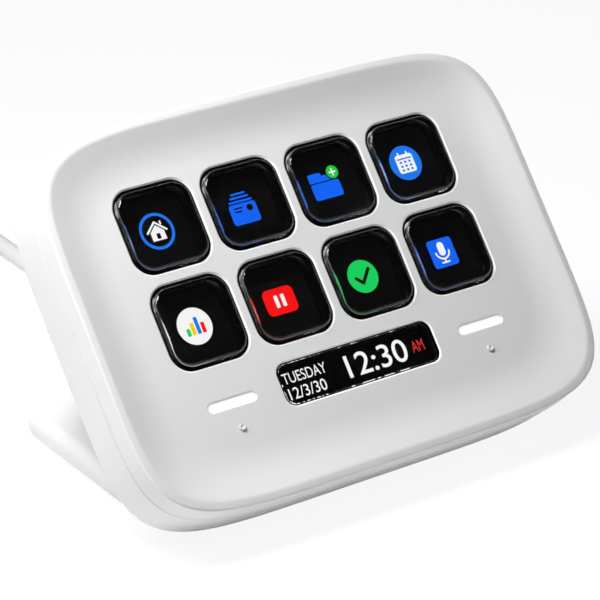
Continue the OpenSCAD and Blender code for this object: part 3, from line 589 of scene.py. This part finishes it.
def make_rear_shell():
    """The rear shell, with the tongue behind the seam, a recess for each screw and painted shade on its face
    inside the seam.
    """
    top, inner = SEAM - SEAM_GAP, WALL + TONGUE_GAP + TONGUE_T
    profile = [(inner, WALL - BACK), (inner, top - TONGUE_ROOT), (inner, SEAM + TONGUE_UP),
               (WALL + TONGUE_GAP, SEAM + TONGUE_UP), (WALL + TONGUE_GAP, top),
               (SEAM_SOFT, top), (0.0, top - SEAM_SOFT)]
    profile += arc(BACK_R, BACK_R - BACK, BACK_R, 180, 270, 18) + [(BACK_R + BACK_FLAT, -BACK)]
    points, faces = skin([body_ring(s, z) for s, z in profile])
    shell = piece_of("rear_shell_smooth", points, faces, SHELL, "shell_white")
    cut(shell, [cutter([round_ring(x, y, RECESS_R, z) for z in (-BACK - PAST, RECESS_FLOOR)])
                for y in (SCREW_TOP, SCREW_LOW) for x in (-SCREW_X, SCREW_X)])
    # The rear shell's face inside the seam is painted grey: painted shade for the gap
    shell.data.materials.append(SEAM_PAINTED_SHADE)
    to_body = BODY.inverted()
    for face in shell.data.polygons:
        if abs((to_body @ face.center / MM).z - top) < NEAR:
            face.material_index = 1
    smooth(shell, SHARP)
    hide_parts("rear_shell")


# ---------------------------------------------------------------- foot
def back_y(z):
    """Where the body's back face is, at a height over the desk."""
    lean_s, lean_c = math.sin(TILT), math.cos(TILT)
    return lean_c * (z - DESK_UP + lean_c * BACK) / lean_s + lean_s * BACK


def make_foot():
    """The foot: a rounded plate joined by a curved neck, cut off at the body's back and hollow below."""
    front = back_y(FOOT_LOW) - FOOT_PAST
    middle, deep = (front + FOOT_BACK) / 2, FOOT_BACK - front
    bend = 0.3 * FOOT_SOFT           # middle of the softened lower edge
    profile = [(FOOT_SOFT, FOOT_LOW), (bend, FOOT_LOW + bend), (0.0, FOOT_LOW + FOOT_SOFT)]
    profile += [(FOOT_EDGE * (1 - math.cos(a)), FOOT_TOP - FOOT_EDGE * (1 - math.sin(a)))
                for a in (math.radians(90 * i / 12) for i in range(13))]
    profile += [(FOOT_EDGE + FOOT_FLAT, FOOT_TOP)]
    rings = [[desk_point(x, middle + y, z)
              for x, y in rounded(FOOT_W - 2 * s, deep - 2 * s, FOOT_CORNER - s, 16)] for s, z in profile]
    foot = piece_of("foot_smooth", *skin(rings), SHELL, "shell_white")
    corner, run = (back_y(FOOT_TOP), FOOT_TOP), NECK_R / math.tan(TILT / 2)
    centre = (corner[0] + run, FOOT_TOP + NECK_R)
    curve = arc(*centre, NECK_R, 90 + math.degrees(TILT), 270, 24)
    side = [(corner[0] - 2 * NECK_PAST, FOOT_TOP - NECK_DEEP),
            (curve[0][0] - NECK_PAST * math.sin(TILT), curve[0][1] + NECK_PAST * math.cos(TILT))]
    side += curve + [(centre[0], FOOT_TOP - NECK_DEEP)]
    neck = [[desk_point(x, y, z) for y, z in side] for x in (-NECK_W / 2, NECK_W / 2)]
    cut(foot, [cutter(neck)], "UNION")
    reach = 200
    corners = ((-reach, -reach), (reach, -reach), (reach, reach), (-reach, reach))
    in_body = [[body_point(x, y, z) for x, y in corners] for z in (-BACK, 3 * reach)]
    front, back = back_y(FOOT_TOP - FOOT_WALL) + NECK_ROOT, FOOT_BACK - FOOT_WALL - CAVITY_GAP
    size = (FOOT_W - 2 * (FOOT_WALL + CAVITY_GAP), back - front, FOOT_CORNER - FOOT_WALL)
    hollow = stack(0, (front + back) / 2, [(*size, 0.0), (*size, FOOT_TOP - FOOT_WALL)], desk_point)
    cut(foot, [cutter(in_body), cutter(hollow)])
    smooth(foot, SHARP)
    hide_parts("foot_shell")


# ---------------------------------------------------------------- keys
def key_places():
    """Middles of the eight keys, row by row from the upper left."""
    return [((column - 1.5) * PITCH_X, (0.5 - row) * PITCH_Y) for row in (0, 1) for column in range(4)]


def level_in(w, h, r, s, z):
    """Level of a stack, a distance in from a rounded rectangle."""
    return w - 2 * s, h - 2 * s, r - s, z


def make_caps():
    """Clear caps: a step that sits in the carrier, straight sides, and a rounded edge round a flat top."""
    levels = [(SEAT, SEAT, SEAT_R, SEAT_LOW), (SEAT, SEAT, SEAT_R, CAP_LOW),
              level_in(CAP, CAP, CAP_R, CAP_BREAK, CAP_LOW), (CAP, CAP, CAP_R, CAP_LOW + CAP_BREAK)]
    for a in (math.radians(90 * i / 10) for i in range(11)):
        s = CAP_EDGE * (1 - math.cos(a))
        levels.append(level_in(CAP, CAP, CAP_R, s, CAP_UP - CAP_EDGE * (1 - math.sin(a))))
    levels.append(level_in(CAP, CAP, CAP_R, CAP_EDGE + CAP_FLAT, CAP_UP))
    for n, (x, y) in enumerate(key_places(), 1):
        cap = piece_of(f"clear_cap_{n}", *skin(stack(x, y, levels)), CAP_CLEAR, "cap_clear",
                       body=f"key_{n}", sharp=40)
        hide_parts(f"keycap_{n}")


# Section of a bellows' wall from the membrane up: distance in, as a share of the fold, and height
BELLOWS_SECTION = [(0, 0), (0, 0.2), (1, 0.5), (0, 0.8), (0, 1)]


def make_membrane():
    """Silicone sheet with a window for each key, and a folded bellows under each key's carrier."""
    levels = [(MEMBRANE_W, MEMBRANE_H, MEMBRANE_R, z) for z in (MEMBRANE_LOW, MEMBRANE_TOP)]
    sheet = piece_of("membrane_sheet", *skin(stack(0, 0, levels)), SILICONE, "silicone_dark")
    window = [(LENS, LENS, LENS_R, z) for z in (MEMBRANE_LOW - PAST, MEMBRANE_TOP + PAST)]
    cut(sheet, [cutter(stack(x, y, window)) for x, y in key_places()])
    smooth(sheet, SHARP)
    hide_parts("key_membrane")
    tall = CARRIER_LOW - BELLOWS_GAP - MEMBRANE_TOP
    profile = [(BELLOWS_FOLD * s, MEMBRANE_TOP + tall * t) for s, t in BELLOWS_SECTION]
    profile += [(BELLOWS_WALL + s, z) for s, z in reversed(profile)]
    levels = [level_in(BELLOWS, BELLOWS, BELLOWS_R, s, z) for s, z in profile]
    for n, (x, y) in enumerate(key_places(), 1):
        rings = stack(x, y, levels)
        bellows = piece_of(f"key_bellows_{n}", *skin(rings, hoop=True), SILICONE, "silicone_dark")
        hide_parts("key_membrane")
        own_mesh(bellows)


def make_window():
    """The info window: a flange under the face, and a raised pane with a polished bevel and black sides."""
    w, h, r = INFO_W - 2 * PANE_GAP, INFO_H - 2 * PANE_GAP, INFO_R - PANE_GAP
    levels = [level_in(INFO_W, INFO_H, INFO_R, -FLANGE, z) for z in (-FACE_T - FRAME_T, -FACE_T)]
    levels += [(w, h, r, -FACE_T), (w, h, r, PANE_TOP - PANE_BEVEL)]
    levels += [level_in(w, h, r, PANE_BEVEL, PANE_TOP), level_in(w, h, r, PANE_FLAT, PANE_TOP)]
    window = piece_of("info_pane", *skin(stack(0, INFO_Y, levels)), WINDOW, "window_clear", sharp=30)
    window.data.materials.append(BLACK)
    to_body = BODY.inverted().to_3x3()
    for face in window.data.polygons:
        if abs((to_body @ face.normal).z) < UPRIGHT:
            face.material_index = 1
    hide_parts("info_window")


# ---------------------------------------------------------------- display content
WHITE, DARK = (1.0, 1.0, 1.0), (0.004, 0.004, 0.004)
BLUE, RING_BLUE = (0.008, 0.14, 1.0), (0.014, 0.2, 0.93)
RED, GREEN, LEAF = (1.0, 0.008, 0.008), (0.012, 0.68, 0.12), (0.02, 0.62, 0.06)
YELLOW, CLOCK_RED = (1.0, 0.68, 0.0), (0.8, 0.03, 0.04)
ROUND_STEPS = 48
PIXELS = {}


def pixels(color):
    """The material of one colour's lit pixels, made when it is first asked for."""
    if color not in PIXELS:
        PIXELS[color] = glow(f"pixels_{len(PIXELS) + 1}", color)
    return PIXELS[color]


# A drawing is a list of layers, each a colour and its shapes; a shape is the points round one face.
def disc(x, y, r):
    """A round face."""
    angles = [2 * math.pi * i / ROUND_STEPS for i in range(ROUND_STEPS)]
    return [[(x + r * math.cos(a), y + r * math.sin(a)) for a in angles]]


def ring(x, y, low, high, start=0, end=360):
    """Faces between two radii, from one angle to another."""
    angles = [math.radians(start + (end - start) * i / ROUND_STEPS) for i in range(ROUND_STEPS + 1)]
    return [[(x + r * math.cos(t), y + r * math.sin(t))
             for r, t in ((low, a), (high, a), (high, b), (low, b))] for a, b in zip(angles, angles[1:])]


def box(x, y, w, h, r=0.01):
    """A rectangle with round corners."""
    return [[(x + px, y + py) for px, py in rounded(w, h, r, 6)]]


def stroke(points, width):
    """A line with round ends and joints."""
    shapes = []
    for (ax, ay), (bx, by) in zip(points, points[1:]):
        run = math.hypot(bx - ax, by - ay)
        nx, ny = -(by - ay) / run * width / 2, (bx - ax) / run * width / 2
        shapes.append([(ax + nx, ay + ny), (bx + nx, by + ny), (bx - nx, by - ny), (ax - nx, ay - ny)])
    for x, y in points:
        shapes += disc(x, y, width / 2)
    return shapes


# The eight symbols, in millimetres from the middle of their key
def home():
    roof = stroke([(-2.1, -0.05), (0, 1.85), (2.1, -0.05)], 0.38) + stroke([(1.25, 1.3), (1.25, 1.75)], 0.36)
    walls = [[(-1.5, -0.1), (0, 1.25), (1.5, -0.1), (1.5, -1.85), (-1.5, -1.85)]]
    return [(RING_BLUE, ring(0, 0, 3.1, 3.7)), (WHITE, roof + walls), (DARK, box(0, -1.0, 0.85, 1.1, 0.06))]


def cards():
    backs = box(0, 2.95, 3.3, 0.38, 0.18) + box(0, 2.2, 4.3, 0.42, 0.2) + box(0, 1.4, 5.3, 0.42, 0.2)
    marks = stroke([(-1.9, 0.1), (-0.2, 0.1)], 0.3) + stroke([(-1.9, -0.6), (-0.6, -0.6)], 0.3)
    return [(BLUE, backs + box(0, -1.15, 6.1, 4.2, 0.65)), (DARK, marks + disc(1.5, -0.25, 0.68))]


def folder():
    back = box(-1.75, 2.0, 3.1, 1.5, 0.5) + box(0, 1.35, 6.6, 1.3, 0.4)
    plus = stroke([(1.85, 2.2), (3.15, 2.2)], 0.3) + stroke([(2.5, 1.55), (2.5, 2.85)], 0.3)
    return [(BLUE, back), (DARK, box(0, 0.72, 6.8, 0.2)), (BLUE, box(0, -1.1, 6.6, 3.4, 0.55)),
            (DARK, disc(2.5, 2.2, 1.6)), (LEAF, disc(2.5, 2.2, 1.35)), (WHITE, plus)]


def calendar():
    page = box(0, -0.1, 4.1, 3.9, 0.6)
    cells = [shape for x in (-1.05, 0, 1.05) for y in (0.25, -0.6, -1.4)
             for shape in box(x, y, 0.55, 0.45, 0.08)]
    rings = stroke([(-1.0, 1.75), (-1.0, 2.25)], 0.34) + stroke([(1.0, 1.75), (1.0, 2.25)], 0.34)
    days = box(0, 0.95, 3.5, 0.3) + cells
    return [(RING_BLUE, disc(0, 0, 3.65)), (WHITE, page + rings), (RING_BLUE, days)]


def chart():
    bars = [(GREEN, -1.65, 1.5), (YELLOW, -0.55, 2.5), (RING_BLUE, 0.55, 3.4), (RED, 1.65, 2.1)]
    return [(WHITE, disc(0, 0, 3.7))] + [(c, box(x, h / 2 - 1.7, 0.8, h, 0.15)) for c, x, h in bars]


def pause():
    bars = box(-0.75, 0, 0.8, 2.5, 0.2) + box(0.75, 0, 0.8, 2.5, 0.2)
    return [(RED, box(0, 0, 6.9, 5.3, 1.2)), (WHITE, bars)]


def check():
    return [(GREEN, disc(0, 0, 3.4)), (DARK, stroke([(-1.6, -0.1), (-0.4, -1.3), (1.75, 1.2)], 0.72))]


def microphone():
    cup = ring(0, 0.35, 1.4, 1.75, 180, 360)
    stand = stroke([(0, -1.3), (0, -1.85)], 0.34) + stroke([(-0.85, -2.0), (0.85, -2.0)], 0.34)
    return [(BLUE, box(0, 0, 5.9, 5.9, 0.7)), (WHITE, box(0, 0.85, 1.55, 2.9, 0.77) + cup + stand)]


ICONS = [home, cards, folder, calendar, chart, pause, check, microphone]


def on_glass(name, mesh):
    """Makes a mesh a piece of the display's content."""
    piece = bpy.data.objects.new(name, mesh)
    bpy.context.scene.collection.objects.link(piece)
    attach(piece, "housing")


def drawing(name, x, y, layers):
    """One mesh for a drawing on the display's glass, with a material for each colour."""
    points, faces, colors, used = [], [], [], []
    for k, (color, shapes) in enumerate(layers):
        if color not in used:
            used.append(color)
        for shape in shapes:
            faces.append(list(range(len(points), len(points) + len(shape))))
            points += [body_point(x + px, y + py, GLASS_Z + LAYER * (k + 1)) for px, py in shape]
            colors.append(used.index(color))
    mesh = bpy.data.meshes.new(name)
    mesh.from_pydata([tuple(p) for p in points], [], faces)
    for color in used:
        mesh.materials.append(pixels(color))
    mesh.polygons.foreach_set("material_index", colors)
    on_glass(name, mesh)


def words(name, text, left, low, width, height, color, weight):
    """Lit words, stretched to fill a box whose lower left corner is given; weight makes strokes bolder."""
    curve = bpy.data.curves.new(name, "FONT")
    curve.body = text
    curve.offset = weight
    maker = bpy.data.objects.new(name + "_maker", curve)
    bpy.context.scene.collection.objects.link(maker)
    bpy.context.view_layer.update()
    mesh = bpy.data.meshes.new_from_object(maker)
    bpy.data.objects.remove(maker)
    xs, ys = [v.co.x for v in mesh.vertices], [v.co.y for v in mesh.vertices]
    for v in mesh.vertices:
        x = left + (v.co.x - min(xs)) / (max(xs) - min(xs)) * width
        y = low + (v.co.y - min(ys)) / (max(ys) - min(ys)) * height
        v.co = body_point(x, y, GLASS_Z + LAYER)
    mesh.materials.clear()
    mesh.materials.append(pixels(color))
    on_glass(name, mesh)


def make_content():
    """A symbol under each key, and the day, date and time on the info bar."""
    for n, ((x, y), icon) in enumerate(zip(key_places(), ICONS), 1):
        drawing(f"key_icon_{n}", x, y, icon())
    words("info_day", "TUESDAY", -15.4, -25.6, 9.9, 2.15, WHITE, 0.0)
    words("info_date", "12/3/30", -15.2, -28.8, 8.5, 2.3, WHITE, 0.003)
    words("info_clock", "12:30", -1.2, -28.2, 14.2, 4.6, WHITE, 0.006)
    words("info_half", "AM", 14.3, -27.1, 2.8, 2.3, CLOCK_RED, 0.0)


# ---------------------------------------------------------------- stage and light
FLOOR_HALF, FLOOR_WHITE, FLOOR_SEEN, FLOOR_SHINE = 6.0, 0.93, 0.12, 0.9
AIM = Vector((0, 0.01, 0.035))       # the object's middle, which the lamps face
SKY_WAY, SKY_FRONT, SKY_BACK = Vector((-0.5, 0.85, 0.1)), 0.01, 0.15
# Brightness of the band that is seen over the floor, and how high it is full and gone
HORIZON, HORIZON_FULL, HORIZON_TOP = 0.95, 0.2, 0.32


def seen_by_view(tree):
    """1 where the camera, a reflection or clear plastic looks, and 0 for light that falls on the object."""
    path = tree.nodes.new("ShaderNodeLightPath")
    found = path.outputs["Is Camera Ray"]
    for other in ("Is Glossy Ray", "Is Transmission Ray"):
        either = tree.nodes.new("ShaderNodeMath")
        either.operation = "MAXIMUM"
        tree.links.new(found, either.inputs[0])
        tree.links.new(path.outputs[other], either.inputs[1])
        found = either.outputs["Value"]
    return found


def make_stage():
    """A white floor. What the camera, a reflection or clear plastic sees of it shines a little by itself."""
    material = bpy.data.materials.new("floor")
    material.use_nodes = True
    tree = material.node_tree
    put, link = tree.nodes.new, tree.links.new
    principled = tree.nodes["Principled BSDF"]
    principled.inputs["Base Color"].default_value = (FLOOR_WHITE, FLOOR_WHITE, FLOOR_WHITE, 1)
    principled.inputs["Roughness"].default_value = 1.0
    principled.inputs["Specular IOR Level"].default_value = 0.0
    seen, shine, both = put("ShaderNodeBsdfDiffuse"), put("ShaderNodeEmission"), put("ShaderNodeAddShader")
    seen.inputs["Color"].default_value = (FLOOR_SEEN, FLOOR_SEEN, FLOOR_SEEN, 1)
    shine.inputs["Strength"].default_value = FLOOR_SHINE
    pick = put("ShaderNodeMixShader")
    link(seen.outputs["BSDF"], both.inputs[0])
    link(shine.outputs["Emission"], both.inputs[1])
    link(seen_by_view(tree), pick.inputs["Fac"])
    link(principled.outputs["BSDF"], pick.inputs[1])
    link(both.outputs["Shader"], pick.inputs[2])
    link(pick.outputs["Shader"], tree.nodes["Material Output"].inputs["Surface"])
    mesh = bpy.data.meshes.new("floor")
    corners = [(x * FLOOR_HALF, y * FLOOR_HALF, 0) for x, y in ((-1, -1), (1, -1), (1, 1), (-1, 1))]
    mesh.from_pydata(corners, [], [(0, 1, 2, 3)])
    mesh.materials.append(material)
    floor = bpy.data.objects.new("floor", mesh)
    bpy.context.scene.collection.objects.link(floor)


def lamp(name, offset, size, power):
    """A square lamp that faces the object's middle from an offset in metres."""
    data = bpy.data.lights.new(name, "AREA")
    data.shape, data.size, data.energy = "SQUARE", size, power
    piece = bpy.data.objects.new(name, data)
    bpy.context.scene.collection.objects.link(piece)
    way = Vector(offset)
    piece.location = AIM + way
    piece.rotation_euler = way.to_track_quat("Z", "Y").to_euler()


def make_light():
    """Two near lamps on the upper left, and a dim sky that is brightest behind the object.

    A view or a reflection sees a pale band over the horizon, which lights nothing.
    """
    lamp("key_light", (-0.16, 0.02, 0.20), 0.1, 0.39)
    lamp("top_light", (-0.12, 0.0, 0.35), 0.1, 1.2)
    world = bpy.data.worlds.new("world")
    world.use_nodes = True
    tree = world.node_tree
    put, link = tree.nodes.new, tree.links.new
    back = tree.nodes["Background"]
    place, along = put("ShaderNodeTexCoord"), put("ShaderNodeVectorMath")
    along.operation = "DOT_PRODUCT"
    along.inputs[1].default_value = SKY_WAY.normalized()
    slope = put("ShaderNodeMapRange")
    slope.inputs["To Min"].default_value, slope.inputs["To Max"].default_value = SKY_FRONT, SKY_BACK
    link(place.outputs["Generated"], along.inputs[0])
    link(along.outputs["Value"], slope.inputs["Value"])
    parts, low = put("ShaderNodeSeparateXYZ"), put("ShaderNodeMapRange")
    low.inputs["From Min"].default_value, low.inputs["From Max"].default_value = HORIZON_TOP, HORIZON_FULL
    seen, pick = seen_by_view(tree), put("ShaderNodeMath")
    pick.operation = "MULTIPLY"
    strength = put("ShaderNodeMix")
    strength.inputs["B"].default_value = HORIZON
    link(place.outputs["Generated"], parts.inputs["Vector"])
    link(parts.outputs["Z"], low.inputs["Value"])
    link(low.outputs["Result"], pick.inputs[0])
    link(seen, pick.inputs[1])
    link(pick.outputs["Value"], strength.inputs["Factor"])
    link(slope.outputs["Result"], strength.inputs["A"])
    link(strength.outputs["Result"], back.inputs["Strength"])
    back.inputs["Color"].default_value = (1, 1, 1, 1)
    bpy.context.scene.world = world
    bpy.context.scene.view_settings.view_transform = "Standard"


# ---------------------------------------------------------------- the whole
make_camera()
make_lead()
dress_cad_nodes()
make_front_shell()
make_rear_shell()
make_foot()
make_caps()
make_membrane()
make_window()
make_content()
make_stage()
make_light()
